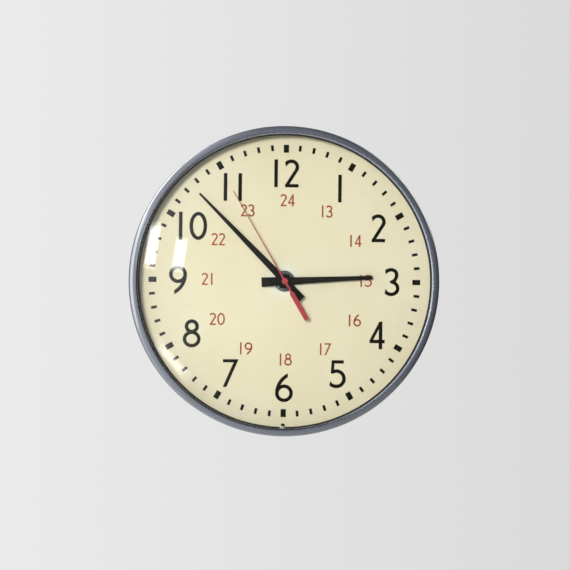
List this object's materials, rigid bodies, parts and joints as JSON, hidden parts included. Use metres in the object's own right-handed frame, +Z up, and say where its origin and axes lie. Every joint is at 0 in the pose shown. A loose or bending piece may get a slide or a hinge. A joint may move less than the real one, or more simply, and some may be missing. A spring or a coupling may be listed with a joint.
{
  "type": "wall clock",
  "caption": "Round wired wall clock: domed glass in a spun steel case that swings up on a top hinge, cream dial with 12 and 24 hour numerals, sweep second hand, geared movement.",
  "frame": {"origin": "centre of the wall plate's rear face, on the clock's axis", "axes": "+Z up to 12 o'clock, -Y out of the front of the clock, +X to 3 o'clock; +Y points into the wall"},
  "size_m": [0.336, 0.0614, 0.3367],
  "materials": {
    "grey_enamel": "slate grey baked enamel, semi-gloss",
    "clear_glass": "clear, polished",
    "dial_enamel": "aged cream, satin",
    "black_paint": "black, satin",
    "red_paint": "red, satin",
    "washer_aluminium": "spun",
    "zinc_steel": "zinc plated, dull",
    "bright_steel": "bright turned",
    "brass": "satin",
    "rubber": "matt black",
    "terminal_moulding": "matt moulding",
    "lead_insulation": "black sleeving"
  },
  "bodies": {
    "wall_unit": {"wall_plate": "zinc_steel", "wall_grommet": "rubber", "wall_hinge_leaf": "zinc_steel", "hinge_pin": "bright_steel", "plate_rivets": "bright_steel", "lock_keeper": "zinc_steel", "dial_bracket": "zinc_steel", "dial_posts": "zinc_steel", "dial_feet": "bright_steel", "dial": "dial_enamel", "dial_screw": "black_paint", "centre_bush": "brass", "centre_washer": "washer_aluminium", "centre_nut": "black_paint", "movement_rear_plate": "brass", "movement_front_plate": "brass", "movement_pillars": "brass", "movement_spacers": "brass", "movement_screws": "bright_steel", "motor_can": "bright_steel", "motor_cover": "zinc_steel", "motor_screws": "bright_steel", "motion_stud": "bright_steel", "terminal_block": "terminal_moulding", "terminal_screws": "brass", "motor_leads": "lead_insulation"},
    "case": {"case_ring": "grey_enamel", "glass_gasket": "rubber", "glass": "clear_glass", "glass_wire": "bright_steel", "glass_wire_tabs": "zinc_steel", "case_hinge_leaf": "zinc_steel", "case_rivets": "bright_steel", "lock_bush": "zinc_steel", "lock_bush_nut": "zinc_steel"},
    "lock": {"lock_screw": "bright_steel", "lock_cam": "zinc_steel"},
    "seconds": {"second_hand": "red_paint", "second_hand_boss": "red_paint", "seconds_arbor": "bright_steel", "seconds_wheel": "brass", "seconds_pinion": "bright_steel"},
    "third": {"third_arbor": "bright_steel", "third_wheel": "brass", "third_pinion": "bright_steel"},
    "minute": {"minute_hand": "black_paint", "minute_hand_boss": "black_paint", "minute_tube": "bright_steel", "centre_wheel": "brass", "cannon_pinion": "bright_steel"},
    "hour": {"hour_hand": "black_paint", "hour_hand_boss": "black_paint", "hour_tube": "brass", "hour_wheel": "brass"},
    "motion_work": {"motion_wheel": "brass", "motion_pinion": "bright_steel"},
    "motor_output": {"motor_shaft": "bright_steel", "motor_pinion": "brass"}
  },
  "joints": [
    {"name": "case_hinge", "type": "hinge", "parent": "wall_unit", "child": "case", "pos_m": [0, -0.0032, 0.1652], "axis": [-1, 0, 0], "range_deg": [0, 85]},
    {"name": "lock_turn", "type": "hinge", "parent": "case", "child": "lock", "pos_m": [0, -0.01, -0.165], "axis": [0, 0, 1], "range_deg": [0, 90]},
    {"name": "minute_turn", "type": "hinge", "parent": "wall_unit", "child": "minute", "pos_m": [0, -0.02, 0], "axis": [0, 1, 0], "continuous": true},
    {"name": "second_turn", "type": "hinge", "parent": "wall_unit", "child": "seconds", "pos_m": [0, -0.02, 0], "axis": [0, 1, 0], "continuous": true},
    {"name": "third_turn", "type": "hinge", "parent": "wall_unit", "child": "third", "pos_m": [-0.01767, -0.012, 0.0102], "axis": [0, 1, 0], "continuous": true},
    {"name": "hour_turn", "type": "hinge", "parent": "wall_unit", "child": "hour", "pos_m": [0, -0.02, 0], "axis": [0, 1, 0], "continuous": true},
    {"name": "motion_work_turn", "type": "hinge", "parent": "wall_unit", "child": "motion_work", "pos_m": [-0.00513, -0.017, -0.0141], "axis": [0, 1, 0], "continuous": true},
    {"name": "motor_turn", "type": "hinge", "parent": "wall_unit", "child": "motor_output", "pos_m": [0.02475, -0.007, 0], "axis": [0, 1, 0], "continuous": true}
  ],
  "couplings": [
    {"joint": "second_turn", "follows": "minute_turn", "ratio": 60},
    {"joint": "third_turn", "follows": "minute_turn", "ratio": -8},
    {"joint": "motor_turn", "follows": "minute_turn", "ratio": -120},
    {"joint": "motion_work_turn", "follows": "minute_turn", "ratio": -0.33333},
    {"joint": "hour_turn", "follows": "minute_turn", "ratio": 0.083333}
  ]
}
